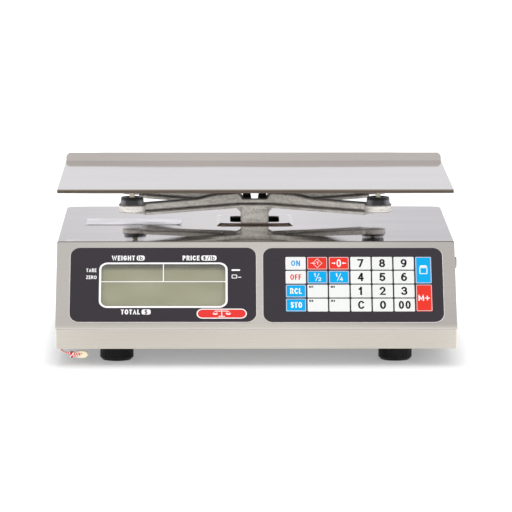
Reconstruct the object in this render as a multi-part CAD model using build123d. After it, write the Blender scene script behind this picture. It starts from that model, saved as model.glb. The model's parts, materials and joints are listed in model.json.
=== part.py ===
from build123d import *
import os
from math import atan2, cos, degrees, hypot, radians, sin, tan

# A counter-top price computing scale: stainless housing on four levelling feet, a sloping front
# with display and keypad, and a loose stainless tray on a cast spider and a load cell.
# Millimetres, +Z up, +X to the user's right, front towards -Y, origin under the middle.

# ---------------------------------------------------------------- driving dimensions
body_width = 368.0  # housing, side to side
top_depth = 297.0  # flat top of the housing, front edge to rear wall
slope_run = 66.0  # how far the sloping front panel reaches forward
slope_rise = 73.0  # how far it drops
strip_height = 18.0  # upright strip below the sloping panel
foot_height = 16.0  # countertop to the underside of the housing
cover_sheet = 1.2
pan_sheet = 1.5
rear_corner = 10.0  # plan radius of the housing's rear corners

platform_back = 172.0  # centre of hub, spider and tray, behind the front edge of the top
tray_width = 370.0
tray_depth = 270.0  # front lip to rear bend
tray_rise = 44.2  # tray's upper face above the housing
tray_sheet = 1.2
lip_drop = 2.9  # deck's upper face to the last of the lip's straight wall
lip_bend = 1.1  # bend radii, to the middle of the sheet
flange_bend = 2.2
flange_length = 11.6  # rear flange, along its slant
flange_lean = 52.0  # degrees back from upright

cup_x = 116.0  # cup centres, either side of the hub
cup_y = 81.0
cup_radius = 12.5
arm_floor = 14.4  # underside of the spider's arms above the housing
arm_top = 25.3
crest_top = 28.5  # raised middle of the spider
notch_floor = 22.9  # seat of the two hub screws
hub_width = 26.6
hub_depth = 38.6
hub_screw_pitch = 15.0

overlay_thickness = 1.2  # both front panels, off the housing's face
overlay_corner = 9.0
key_pitch_x = 19.94
key_pitch_y = 15.6
key_gap = 1.3
key_travel = 0.3
key_clearance = 0.25

# ---------------------------------------------------------------- places worked out from them
body_bottom = foot_height
crease_z = body_bottom + strip_height
cover_top = crease_z + slope_rise
tray_top = cover_top + tray_rise
flange_run = flange_length * sin(radians(flange_lean))
flange_rise = flange_length * cos(radians(flange_lean))
overall_depth = slope_run + platform_back + tray_depth / 2 + flange_run
front_y = -overall_depth / 2
edge_y = front_y + slope_run
rear_y = edge_y + top_depth
platform_y = edge_y + platform_back
pan_floor = body_bottom + 0.4
pan_top = pan_floor + pan_sheet
side_x = body_width / 2

# The sloping panel: its X is the scale's X, its Y runs up the slope, its Z points out of it.
slope_length = hypot(slope_run, slope_rise)
panel = Plane(
    origin=(0, edge_y, cover_top),
    x_dir=(1, 0, 0),
    z_dir=(0, -slope_rise / slope_length, slope_run / slope_length),
)
# The rear wall, as seen by the customer: its X runs to the scale's left, its Y is up.
rear_wall = Plane(origin=(0, rear_y, cover_top), x_dir=(-1, 0, 0), z_dir=(0, 1, 0))


# ---------------------------------------------------------------- helpers
def plate(plane, left, right, top, bottom, radius, low, high):
    """A rounded plate on a plane: top and bottom are distances below its origin."""
    outline = RectangleRounded(right - left, bottom - top, radius)
    placed = Pos((left + right) / 2, -(top + bottom) / 2, low) * outline
    return plane * extrude(placed, high - low)


def post(x, y, low, high, radius):
    """An upright cylinder between two heights."""
    return Pos(x, y, (low + high) / 2) * Cylinder(radius, high - low)


def block(x0, x1, y0, y1, z0, z1):
    """An upright box between two corners."""
    size = Box(x1 - x0, y1 - y0, z1 - z0)
    return Pos((x0 + x1) / 2, (y0 + y1) / 2, (z0 + z1) / 2) * size


def hexagon(x, y, low, high, across):
    """A hexagonal prism, such as a nut, by its size across flats."""
    outline = Pos(x, y, low) * RegularPolygon(across / 2, 6, major_radius=False)
    return extrude(outline, high - low)


def strip(points, radius, thickness, x_middle, width):
    """A bent strip whose edge line runs through (y, z) points, as wide as given along X."""
    path = FilletPolyline(*points, radius=radius)
    outline = Plane.YZ * make_face(offset(path, thickness, side=Side.LEFT, closed=True))
    return Pos(x_middle, 0, 0) * extrude(outline, width / 2, both=True)


def tube(points, radius, bend):
    """A round cable along straight runs joined by tangent arcs."""
    path = FilletPolyline(*points, radius=bend)
    section = Plane(path @ 0, z_dir=path % 0) * Circle(radius)
    return sweep(section, path=path)


def corners(x, y):
    """The four places at plus and minus x and y about the middle of the platform."""
    return [(sx * x, platform_y + sy * y) for sy in (-1, 1) for sx in (-1, 1)]


def all_of(shapes):
    """Separate solids held in one node."""
    return Compound(children=[solid for shape in shapes for solid in shape.solids()])


# ---------------------------------------------------------------- housing
plateau_height = 1.4
plateau_base, plateau_top = (73.0, 105.0), (66.0, 70.0)
hole_width, hole_depth = 47.0, 52.0
display_left, display_right = -171.0, 0.0
display_top, display_bottom = 8.0, 90.6
window_left, window_right = -142.5, -28.1
window_top, window_bottom = 26.6, 73.6
keypad_left, keypad_right = 6.6, 172.0
keypad_top, keypad_bottom = 8.4, 91.0
customer_half, customer_top, customer_bottom = 85.5, 6.0, 72.0
customer_window = (-58.0, 58.0, 16.0, 60.0)
socket_y, socket_z, socket_radius = edge_y + 2.0, cover_top - 20.0, 4.0
ribbon_slot_top, ribbon_slot_bottom = 82.5, 86.5
cover_screw_z = body_bottom + 6.5
cover_screw_backs = (25.0, 225.0)  # behind the front edge of the top


def housing_block(inset, floor):
    """The housing's solid outline, drawn in by a wall thickness."""
    points = [
        (front_y, floor),
        (front_y, crease_z),
        (edge_y, cover_top),
        (rear_y, cover_top),
        (rear_y, floor),
    ]
    face = make_face(Polyline(*points, close=True))
    if inset:
        face = offset(face, -inset, kind=Kind.INTERSECTION)
    solid = extrude(Plane.YZ * face, side_x - inset, both=True)
    rear_edges = solid.edges().filter_by(Axis.Z).sort_by(Axis.Y)[-2:]
    return fillet(rear_edges, rear_corner - inset)


def plateau(base_z):
    """The low pressed rise around the hub's opening."""
    base = Pos(0, platform_y, base_z) * RectangleRounded(*plateau_base, 8)
    top = Pos(0, platform_y, base_z + plateau_height) * RectangleRounded(*plateau_top, 6)
    return loft([base, top])


def side_screw_places():
    """Where the housing's side screws cross its walls."""
    return [(side, edge_y + back) for side in (-1, 1) for back in cover_screw_backs]


def board_stud_places(left, right, top, bottom):
    """Four stud centres just inside a circuit board's corners."""
    return [(x, v) for x in (left + 5, right - 5) for v in (top + 5, bottom - 5)]


def make_cover():
    outer = housing_block(0, body_bottom)
    bottom_z = outer.faces().sort_by(Axis.Z)[0].center().Z
    soft = [e for e in outer.edges() if e.center().Z > bottom_z + 0.1]
    soft = [e for e in soft if abs(e.tangent_at(0.5).Z) < 0.99 or e.center().Y < 0]
    outer = fillet(soft, 1.6) + plateau(cover_top)
    cover = outer - housing_block(cover_sheet, body_bottom - 10) - plateau(cover_top - cover_sheet)
    opening = Pos(0, platform_y, cover_top - 5) * RectangleRounded(hole_width, hole_depth, 5)
    cover -= extrude(opening, 10)
    cover -= plate(panel, window_left - 1, window_right + 1, window_top - 1, window_bottom + 1, 5, -4, 4)
    cover -= plate(panel, 60, 80, ribbon_slot_top, ribbon_slot_bottom, 1.5, -4, 4)
    left, right, top, bottom = customer_window
    cover -= plate(rear_wall, left - 1, right + 1, top - 1, bottom + 1, 5, -4, 4)
    cover -= Pos(side_x, socket_y, socket_z) * Rot(0, 90, 0) * Cylinder(socket_radius, 8)
    for side, y in side_screw_places():
        cover -= Pos(side * side_x, y, cover_screw_z) * Rot(0, 90, 0) * Cylinder(2.15, 8)
    for x, v in board_stud_places(*front_board):
        cover += plate(panel, x - 2.5, x + 2.5, v - 2.5, v + 2.5, 2.4, board_front, -cover_sheet + 0.1)
    for x, v in board_stud_places(*customer_board):
        cover += plate(rear_wall, x - 2.5, x + 2.5, v - 2.5, v + 2.5, 2.4, board_front, -cover_sheet + 0.1)
    return cover


# Circuit boards behind the two windows: left, right, top, bottom; depths behind the face.
front_board = (-152.0, -18.0, 16.0, 84.0)
customer_board = (-70.0, 70.0, 8.0, 69.0)
lcd_front, lcd_back, board_front, board_back = -3.0, -5.8, -6.0, -7.6

pan_wall_top = pan_floor + 14.0
foot_x = 128.5
foot_backs = (-20.0, 258.0)  # behind the front edge of the top
block_x0, block_x1 = 86.0, 114.0
block_half = 15.0
cell_bottom, cell_top = 50.0, 72.0
cell_x0, cell_x1 = -15.0, 115.0
fixed_screw_x = (92.5, 107.5)
board_boss_top = 26.0
board_box = (-160.0, -40.0, edge_y + 50, edge_y + 140)
seal_x, seal_y, seal_z = -180.0, edge_y - 26.0, body_bottom - 2.8
foot_stem = 4.0


def foot_places():
    return [(x, edge_y + back) for back in foot_backs for x in (-foot_x, foot_x)]


def board_boss_places():
    x0, x1, y0, y1 = board_box
    return [(x, y) for x in (x0 + 6, x1 - 6) for y in (y0 + 6, y1 - 6)]


def make_base_pan():
    gap = cover_sheet + 0.2
    outer = block(-side_x + gap, side_x - gap, front_y + gap, rear_y - gap, pan_floor, pan_wall_top)
    inner = block(
        -side_x + gap + pan_sheet,
        side_x - gap - pan_sheet,
        front_y + gap + pan_sheet,
        rear_y - gap - pan_sheet,
        pan_top,
        pan_wall_top + 1,
    )
    outer = fillet(outer.edges().filter_by(Axis.Z).sort_by(Axis.Y)[-2:], rear_corner - gap)
    inner = fillet(inner.edges().filter_by(Axis.Z).sort_by(Axis.Y)[-2:], rear_corner - gap - pan_sheet)
    pan = outer - inner
    for x, y in foot_places():
        pan += post(x, y, pan_floor + 0.1, pan_top + 7, 7.0)
        pan -= post(x, y, pan_floor - 1, pan_top + 8, foot_stem + 0.06)
    for x, y in board_boss_places():
        pan += post(x, y, pan_floor + 0.1, board_boss_top, 3.5)
    for x in fixed_screw_x:
        pan -= post(x, platform_y, pan_floor - 1, pan_top + 1, 3.1)
    pan -= post(0, platform_y, pan_floor - 1, pan_top + 1, 3.1)
    # A small lug below the front left corner, drilled for the seal's wire.
    lug = block(seal_x - 2.2, seal_x + 2.8, seal_y, seal_y + 1.5, seal_z - 2.4, pan_floor + 0.1)
    pan += lug - Pos(seal_x, seal_y, seal_z) * Rot(90, 0, 0) * Cylinder(1.2, 8)
    for side, y in side_screw_places():
        hole = Cylinder(2.0, 8)
        pan -= Pos(side * (side_x - gap), y, cover_screw_z) * Rot(0, 90, 0) * hole
    return pan


def make_cover_screws():
    """Pan-head screws through the side walls into the pan's upturned edges."""
    screws = []
    head_height = 1.9
    for side, y in side_screw_places():
        head = Pos(0, 0, head_height / 2) * Cylinder(3.9, head_height)
        head = fillet(head.edges().sort_by(Axis.Z)[-1], 1.2)
        slot = Pos(0, 0, head_height) * Box(0.9, 5.2, 1.8) + Pos(0, 0, head_height) * Box(5.2, 0.9, 1.8)
        screw = head - slot + Pos(0, 0, -4) * Cylinder(1.95, 8)
        screws.append(Pos(side * side_x, y, cover_screw_z) * Rot(0, 90 * side, 0) * screw)
    return all_of(screws)


def make_foot(x, y):
    """A knurled moulded foot with its threaded stem, screwed fully in."""
    radius, bevel, ribs = 15.4, 2.6, 30
    body = post(x, y, 0, foot_height - 0.3, radius)
    body = chamfer(body.edges().sort_by(Axis.Z)[0], bevel)
    body = fillet(body.edges().sort_by(Axis.Z)[-1], 0.8)
    groove = Pos(radius + 0.35, 0, bevel + 5) * Box(1.6, 1.3, 9.5)
    for rib in range(ribs):
        body -= Pos(x, y, 0) * Rot(0, 0, rib * 360 / ribs) * groove
    body -= post(x, y, -1, 1.2, 8)
    return body + post(x, y, foot_height - 1, foot_height + 12, foot_stem)


# ---------------------------------------------------------------- load cell and its fixings
def make_load_cell():
    """A single-point bending beam with its two-lobed gauge window."""
    half = 15.0
    middle_x, middle_z = (cell_x0 + cell_x1) / 2, (cell_bottom + cell_top) / 2
    cell = block(cell_x0, cell_x1, platform_y - half, platform_y + half, cell_bottom, cell_top)
    cell = chamfer(cell.edges().filter_by(Axis.X), 0.6)
    for dx in (-18, 18):
        cell -= Pos(middle_x + dx, platform_y, middle_z) * Rot(90, 0, 0) * Cylinder(8.6, 40)
    cell -= Pos(middle_x, platform_y, middle_z) * Box(36, 40, 8)
    for x in (-hub_screw_pitch / 2, hub_screw_pitch / 2):
        cell -= post(x, platform_y, cell_top - 15, cell_top + 1, 2.5)
    for x in fixed_screw_x:
        cell -= post(x, platform_y, cell_bottom - 1, cell_bottom + 15, 3.0)
    return cell


def make_load_cell_block():
    support = block(
        block_x0, block_x1, platform_y - block_half, platform_y + block_half, pan_top, cell_bottom
    )
    support = fillet(support.edges().filter_by(Axis.Z), 3)
    for x in fixed_screw_x:
        support -= post(x, platform_y, pan_top - 1, cell_bottom + 1, 3.2)
    return support


def make_load_cell_screws():
    screws = []
    for x in fixed_screw_x:
        head = hexagon(x, platform_y, pan_floor - 4, pan_floor, 10)
        screws.append(head + post(x, platform_y, pan_floor - 1, cell_bottom + 13, 3.0))
    return all_of(screws)


def make_overload_screw():
    """A stop that the free end meets when the scale is overloaded."""
    stop = post(0, platform_y, pan_floor - 1, cell_bottom - 1.0, 3.0)
    head = hexagon(0, platform_y, pan_floor - 4, pan_floor, 10)
    return stop + head + hexagon(0, platform_y, pan_top, pan_top + 5, 10)


# ---------------------------------------------------------------- spider
def arm(sx, sy):
    """One arm of the spider with its cup, cast hollow from below."""
    length = hypot(cup_x, cup_y)
    end = length - cup_radius + 3
    floor, top, crest = cover_top + arm_floor, cover_top + arm_top, cover_top + crest_top
    # Seen from the side: level, with the middle rising to the crest in a soft S.
    outline = make_face(
        Polyline((8, floor), (end, floor), (end, top), (72, top + 0.2))
        + Spline((72, top + 0.2), (43, crest), tangents=((-1, 0.03), (-1, 0)))
        + Polyline((43, crest), (8, crest), (8, floor))
    )
    web = extrude(Plane.XZ * outline, 4.5, both=True)
    rim = Pos((8 + end) / 2, 0, floor + 1.8) * Box(end - 8, 15, 3.6)
    rim = fillet(rim.edges().filter_by(Axis.X).group_by(Axis.Z)[-1], 0.8)
    pocket = Pos(75, 0, floor + 2) * Box(80, 5, 11)
    cup = Pos(length, 0, floor + 6.7) * Cylinder(cup_radius, 7.2)
    socket = Pos(length, 0, floor + 6.7) * Cylinder(7.0, 9)
    cup = fillet(cup.edges().filter_by(GeomType.CIRCLE).sort_by(Axis.Z)[0], 1.0)
    whole = web + rim - pocket
    whole = whole - Pos(length, 0, floor + 10) * Cylinder(cup_radius, 40) + cup - socket
    heading = degrees(atan2(sy * cup_y, sx * cup_x))
    return Pos(0, platform_y, 0) * Rot(0, 0, heading) * whole


def make_spider():
    floor, crest, notch = cover_top + arm_floor, cover_top + crest_top, cover_top + notch_floor
    half_x, half_y = 27.0, 16.0
    middle = block(-half_x, half_x, platform_y - half_y, platform_y + half_y, floor, crest)
    middle = fillet(middle.edges().filter_by(Axis.Z), 3)
    rim = block(-half_x - 3, half_x + 3, platform_y - half_y - 3, platform_y + half_y + 3, floor, floor + 3.6)
    rim = fillet(rim.edges().filter_by(Axis.Z), 5)
    hub = block(
        -hub_width / 2,
        hub_width / 2,
        platform_y - hub_depth / 2,
        platform_y + hub_depth / 2,
        cell_top,
        floor + 3.6,
    )
    hub = fillet(hub.edges().filter_by(Axis.Z), 4)
    spider = middle + rim + hub
    for sx in (-1, 1):
        for sy in (-1, 1):
            spider += arm(sx, sy)
    # Webs that run from the hub out under the arms in a hollow curve.
    reach, drop = 8.0, 4.6
    for side in (-1, 1):
        x0 = side * (hub_width / 2 - 1)
        face = side * hub_width / 2
        x1 = face + side * reach
        gusset = make_face(
            Polyline((x1, floor + 1), (x0, floor + 1), (x0, floor - drop), (face, floor - drop))
            + Spline((face, floor - drop), (x1, floor + 1), tangents=((side, 0.85), (side, 0.15)))
        )
        spider += Pos(0, platform_y, 0) * extrude(Plane.XZ * gusset, 14, both=True)
    # The open channel across the top, where the hub screws sit.
    slant = [(-11.5, notch), (11.5, notch), (15.6, crest + 1), (-15.6, crest + 1)]
    channel = make_face(Polyline(*slant, close=True))
    spider -= Pos(0, platform_y, 0) * extrude(Plane.XZ * channel, 60, both=True)
    # Between the screws the channel is deeper, and stays open to the rear.
    spider -= block(-3.2, 3.2, platform_y - half_y + 2, platform_y + half_y + 10, notch - 4.4, notch + 1)
    for x in (-hub_screw_pitch / 2, hub_screw_pitch / 2):
        spider -= post(x, platform_y, cell_top - 1, notch + 1, 2.7)
    return spider


def make_spider_screws():
    notch = cover_top + notch_floor
    screws = []
    for x in (-hub_screw_pitch / 2, hub_screw_pitch / 2):
        head = post(x, platform_y, notch, notch + 5.2, 3.8)
        head = chamfer(head.edges().sort_by(Axis.Z)[-1], 0.4) - hexagon(x, platform_y, notch + 2.6, notch + 6, 4)
        screws.append(head + post(x, platform_y, cell_top - 12, notch + 1, 2.5))
    return all_of(screws)


cushion_base = cover_top + arm_floor + 10.3  # upper face of the spider's cups
recess_floor = cushion_base + 1.9


def make_cushions():
    """Rubber cups pressed into the spider's cup sockets."""
    cushions = []
    for x, y in corners(cup_x, cup_y):
        flange = post(x, y, cushion_base, cushion_base + 1.1, 11.7)
        body = Pos(x, y, cushion_base + 3.5) * Cone(11.1, 10.5, 7.0)
        body = fillet(body.edges().sort_by(Axis.Z)[-1], 0.9)
        spigot = post(x, y, cushion_base - 6.5, cushion_base + 1, 6.9)
        cushions.append(flange + body + spigot - post(x, y, recess_floor, cushion_base + 9, 6.6))
    return all_of(cushions)


# ---------------------------------------------------------------- tray
tray_front = platform_y - tray_depth / 2
tray_bend = platform_y + tray_depth / 2
peg_radius = 2.4
peg_foot = recess_floor + 0.2


def make_tray():
    """One bent sheet: rolled front lip, flat deck, rear flange leaning back."""
    deck = tray_top - tray_sheet / 2
    rounded_end = tray_sheet / 2
    flange_end = (tray_bend + flange_run - rounded_end, deck + flange_rise)
    path = FilletPolyline(
        (tray_front + tray_sheet / 2, tray_top - lip_drop),
        (tray_front + tray_sheet / 2, deck),
        (tray_bend, deck),
        flange_end,
        radius=[lip_bend, flange_bend],
    )
    half = tray_sheet / 2
    outline = offset(path, half, side=Side.BOTH, closed=True)
    tray = extrude(Plane.YZ * make_face(outline), tray_width / 2, both=True)
    # Rounded upper corners of the flange.
    radius = 6.0
    lean = Plane(
        origin=(0, tray_bend, deck),
        x_dir=(1, 0, 0),
        z_dir=(0, -cos(radians(flange_lean)), sin(radians(flange_lean))),
    )
    for side in (-1, 1):
        x = side * tray_width / 2
        square = Pos(x - side * radius / 2, flange_length - radius / 2, 0) * Box(radius, radius, 6)
        square += Pos(x, flange_length, 0) * Box(4, 4, 6)
        disc = Pos(x - side * radius, flange_length - radius, 0) * Cylinder(radius, 8)
        tray -= lean * (square - disc)
    return tray


def make_pegs():
    """Moulded pegs under the tray that stand in the rubber cups."""
    under = tray_top - tray_sheet
    pegs = []
    for x, y in corners(cup_x, cup_y):
        peg = post(x, y, peg_foot, under, peg_radius) + post(x, y, under - 1.2, under, 7)
        pegs.append(fillet(peg.edges().sort_by(Axis.Z)[0], 0.8))
    return all_of(pegs)


# ---------------------------------------------------------------- front display
def make_display_overlay():
    overlay = plate(
        panel, display_left, display_right, display_top, display_bottom, overlay_corner, 0, overlay_thickness
    )
    overlay -= plate(panel, window_left, window_right, window_top, window_bottom, 6, -1, 3)
    return overlay


def make_display_lens():
    return plate(panel, window_left, window_right, window_top, window_bottom, 6, 0.2, overlay_thickness - 0.1)


def make_lcd(plane, left, right, top, bottom):
    """A glass panel a little larger than the window in front of it."""
    return plate(plane, left - 3, right + 3, top - 3, bottom + 3, 1, lcd_back, lcd_front)


def make_circuit_board(plane, bounds, chips):
    """A board with its components on the side away from the window."""
    left, right, top, bottom = bounds
    board = plate(plane, left, right, top, bottom, 1.5, board_back, board_front)
    for x, v, width, height, tall in chips:
        chip = plate(plane, x, x + width, v, v + height, 0.4, board_back - tall, board_back + 0.1)
        board += chip
    return board


# ---------------------------------------------------------------- keypad
keys_left = 26.6  # left edge of the first key's cell
keys_top = 17.9  # upper edge of the top row's cells, below the top edge
keys_end = 162.4  # right edge of the tall keys' cells
circuit_thickness = 0.3
key_back, key_front = 0.75, 1.35

key_names = [
    ["key_on", "key_tare", "key_zero", "key_7", "key_8", "key_9"],
    ["key_off", "key_half", "key_quarter", "key_4", "key_5", "key_6"],
    ["key_recall", "key_memory_1", "key_memory_2", "key_1", "key_2", "key_3"],
    ["key_store", "key_memory_3", "key_memory_4", "key_clear", "key_0", "key_00"],
]


def key_cells():
    """Each key's name and outline: left, right, top, bottom."""
    cells = {}
    for row, names in enumerate(key_names):
        for column, name in enumerate(names):
            left = keys_left + column * key_pitch_x
            top = keys_top + row * key_pitch_y
            cells[name] = (left, left + key_pitch_x, top, top + key_pitch_y)
    tall_left = keys_left + len(key_names[0]) * key_pitch_x
    for name, row in (("key_pack", 0), ("key_add", 2)):
        top = keys_top + row * key_pitch_y
        cells[name] = (tall_left, keys_end, top, top + 2 * key_pitch_y)
    return cells


def key_plate(cell, grow, radius, low, high):
    left, right, top, bottom = cell
    inset = key_gap / 2 - grow
    return plate(panel, left + inset, right - inset, top + inset, bottom - inset, radius, low, high)


def make_key(cell):
    key = key_plate(cell, 0, 1.0, key_back, key_front)
    front = key.faces().sort_by(lambda face: face.center().dot(panel.z_dir))[-1]
    return chamfer(front.edges(), 0.15)


def make_keypad_overlay():
    overlay = plate(
        panel,
        keypad_left,
        keypad_right,
        keypad_top,
        keypad_bottom,
        overlay_corner,
        circuit_thickness,
        overlay_thickness,
    )
    for cell in key_cells().values():
        overlay -= key_plate(cell, key_clearance, 1.2, -1, 3)
    return overlay


def make_keypad_circuit():
    inset = 0.6
    sheet = plate(
        panel,
        keypad_left + inset,
        keypad_right - inset,
        keypad_top + inset,
        keypad_bottom - inset,
        overlay_corner - inset,
        0,
        circuit_thickness,
    )
    return sheet - plate(panel, 61, 79, ribbon_slot_top + 1, ribbon_slot_bottom - 1, 0.8, -1, 3)


# ---------------------------------------------------------------- customer side
def make_customer_overlay():
    overlay = plate(
        rear_wall, -customer_half, customer_half, customer_top, customer_bottom, overlay_corner, 0, overlay_thickness
    )
    left, right, top, bottom = customer_window
    return overlay - plate(rear_wall, left, right, top, bottom, 6, -1, 3)


def make_customer_lens():
    left, right, top, bottom = customer_window
    return plate(rear_wall, left, right, top, bottom, 6, 0.2, overlay_thickness - 0.1)


# ---------------------------------------------------------------- electrics
def make_main_board():
    x0, x1, y0, y1 = board_box
    board = block(x0, x1, y0, y1, board_boss_top, board_boss_top + 1.6)
    top = board_boss_top + 1.5
    for x, y, width, depth, tall in ((20, 30, 24, 24, 3), (60, 25, 14, 30, 2.5), (90, 20, 18, 18, 14)):
        board += block(x0 + x, x0 + x + width, y0 + y, y0 + y + depth, top, top + tall)
    for y in (12, 62):
        board += block(x1 - 12, x1 - 4, y0 + y, y0 + y + 20, top, top + 8)
    return board


def make_battery():
    """A sealed six-volt block lying on the pan."""
    case = block(-118, -48, edge_y + 175, edge_y + 276, pan_top, pan_top + 47)
    case = fillet(case.edges(), 1.5)
    for x in (-109, -94):
        case += block(x, x + 5, edge_y + 170, edge_y + 177, pan_top + 38, pan_top + 39)
    return case


def make_power_socket():
    """A barrel socket with a ribbed collar on the right-hand wall."""
    collar_radius, ribs = 5.2, 16
    collar = Pos(0, 0, 1.0) * Cylinder(collar_radius, 2.0)
    collar = chamfer(collar.edges().sort_by(Axis.Z)[-1], 0.4)
    for rib in range(ribs):
        collar -= Rot(0, 0, rib * 360 / ribs) * Pos(collar_radius + 0.25, 0, 1) * Box(1.2, 0.9, 4)
    barrel = Pos(0, 0, -6) * Cylinder(socket_radius - 0.05, 12.4)
    socket = collar + barrel - Pos(0, 0, -2) * Cylinder(2.8, 9)
    return Pos(side_x, socket_y, socket_z) * Rot(0, 90, 0) * socket


def make_keypad_ribbon():
    """Flat tail from the keypad, through the housing's slot, down to the main board's edge."""
    down = (ribbon_slot_top + ribbon_slot_bottom) / 2
    start = panel.from_local_coords(Vector(0, -down, circuit_thickness))
    inside = panel.from_local_coords(Vector(0, -down, -14))
    return strip(
        [
            (start.Y, start.Z),
            (inside.Y, inside.Z),
            (inside.Y + 25, pan_top + 3),
            (inside.Y + 60, pan_top + 3),
        ],
        4,
        0.3,
        70,
        15,
    )


def make_display_ribbon():
    """Flat cable from the display board to the main board."""
    start = panel.from_local_coords(Vector(0, -70, board_back - 1))
    return strip(
        [
            (start.Y, start.Z),
            (start.Y + 9, start.Z - 4),
            (start.Y + 30, board_boss_top + 5),
            (board_box[2] + 10, board_boss_top + 1.6),
        ],
        4,
        0.6,
        -85,
        20,
    )


def make_load_cell_cable():
    """Shielded lead from the load cell's fixed end along the pan to the main board."""
    y_side = platform_y - 15
    return tube(
        [
            (78, y_side, 60),
            (78, y_side - 14, 60),
            (66, y_side - 26, 34),
            (40, y_side - 32, pan_top + 3),
            (2, y_side - 38, pan_top + 3),
            (-18, y_side - 44, pan_top + 6),
            (-34, y_side - 48, board_boss_top + 6),
            (-45, y_side - 50, board_boss_top + 6),
        ],
        2.0,
        5,
    )


# ---------------------------------------------------------------- tamper seal
wire_radius = 1.0
seal_route = [
    (seal_x, seal_y, seal_z),
    (seal_x, seal_y - 12.0, seal_z - 0.8),
    (seal_x + 3.5, seal_y - 22.0, seal_z - 2.9),
    (seal_x + 11.0, seal_y - 26.5, seal_z - 3.9),
    (seal_x + 16.0, seal_y - 27.5, seal_z - 3.9),
]


def bend_radii(points):
    """Each corner's arc takes 0.45 of the shorter of the two runs that meet there."""
    radii = []
    for before, corner, after in zip(points, points[1:], points[2:]):
        arriving = Vector(*corner) - Vector(*before)
        leaving = Vector(*after) - Vector(*corner)
        turn = radians(arriving.get_angle(leaving))
        radii.append(0.45 * min(arriving.length, leaving.length) / tan(turn / 2))
    return radii


def make_seal_wire():
    return tube(seal_route, wire_radius, bend_radii(seal_route))


def make_seal_tag():
    """The crimped oval seal, standing on edge at the wire's end."""
    x, y, z = seal_route[-1]
    face = Plane(origin=(x + 3.6, y, z), x_dir=(1, 0, 0), z_dir=(0, -1, 0))
    tag = extrude(face * Ellipse(6.4, 3.6), 2.4, both=True)
    return fillet(tag.edges(), 0.9) - make_seal_wire()


# ---------------------------------------------------------------- write every node
front_chips = ((-140, 30, 20, 20, 2.0), (-100, 34, 12, 12, 1.5), (-60, 60, 24, 8, 6.0))
customer_chips = ((-40, 26, 20, 20, 2.0), (10, 50, 24, 8, 6.0))
parts = {
    "housing_cover": make_cover(),
    "base_pan": make_base_pan(),
    "cover_screws": make_cover_screws(),
    "load_cell": make_load_cell(),
    "load_cell_block": make_load_cell_block(),
    "load_cell_screws": make_load_cell_screws(),
    "overload_screw": make_overload_screw(),
    "spider": make_spider(),
    "spider_screws": make_spider_screws(),
    "rubber_cushions": make_cushions(),
    "weighing_tray": make_tray(),
    "tray_pegs": make_pegs(),
    "display_overlay": make_display_overlay(),
    "display_lens": make_display_lens(),
    "display_lcd": make_lcd(panel, window_left, window_right, window_top, window_bottom),
    "display_board": make_circuit_board(panel, front_board, front_chips),
    "keypad_overlay": make_keypad_overlay(),
    "keypad_circuit": make_keypad_circuit(),
    "customer_overlay": make_customer_overlay(),
    "customer_lens": make_customer_lens(),
    "customer_lcd": make_lcd(rear_wall, *customer_window),
    "customer_board": make_circuit_board(rear_wall, customer_board, customer_chips),
    "main_board": make_main_board(),
    "battery": make_battery(),
    "power_socket": make_power_socket(),
    "keypad_ribbon": make_keypad_ribbon(),
    "display_ribbon": make_display_ribbon(),
    "load_cell_cable": make_load_cell_cable(),
    "seal_wire": make_seal_wire(),
    "seal_tag": make_seal_tag(),
}
for (x, y), name in zip(foot_places(), ("front_left", "front_right", "rear_left", "rear_right")):
    parts["foot_" + name] = make_foot(x, y)
for name, cell in key_cells().items():
    parts[name] = make_key(cell)

os.makedirs("parts", exist_ok=True)
for name, shape in parts.items():
    export_step(shape, os.path.join("parts", name + ".step"))
print(len(parts), "nodes, overall", round(overall_depth, 1), "deep")
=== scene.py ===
import json
import math

import bmesh
import bpy
from mathutils import Matrix, Vector, noise


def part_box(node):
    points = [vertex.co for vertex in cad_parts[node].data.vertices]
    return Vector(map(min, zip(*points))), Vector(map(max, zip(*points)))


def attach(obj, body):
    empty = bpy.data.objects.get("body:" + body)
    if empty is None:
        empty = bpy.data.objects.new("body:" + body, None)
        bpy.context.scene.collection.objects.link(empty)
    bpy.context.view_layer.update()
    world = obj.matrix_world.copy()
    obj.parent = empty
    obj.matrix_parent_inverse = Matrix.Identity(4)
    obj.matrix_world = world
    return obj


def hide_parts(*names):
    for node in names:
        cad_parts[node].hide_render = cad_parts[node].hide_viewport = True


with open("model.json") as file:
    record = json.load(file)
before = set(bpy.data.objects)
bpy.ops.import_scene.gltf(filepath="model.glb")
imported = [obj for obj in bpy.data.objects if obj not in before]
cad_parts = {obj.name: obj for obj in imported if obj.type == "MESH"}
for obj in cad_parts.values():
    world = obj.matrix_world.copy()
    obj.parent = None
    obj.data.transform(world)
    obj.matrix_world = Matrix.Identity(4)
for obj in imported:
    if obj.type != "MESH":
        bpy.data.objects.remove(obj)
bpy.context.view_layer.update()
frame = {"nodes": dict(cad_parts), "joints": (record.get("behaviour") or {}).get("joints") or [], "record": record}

MM = 0.001
scene = bpy.context.scene
scene.view_settings.view_transform = "Standard"
scene.view_settings.look = "None"


def srgb(red, green, blue):
    """A screen colour, 0 to 255, as the linear colour that the shaders take."""
    def linear(value):
        value /= 255
        return value / 12.92 if value <= 0.04045 else ((value + 0.055) / 1.055) ** 2.4

    return (linear(red), linear(green), linear(blue), 1.0)


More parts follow.
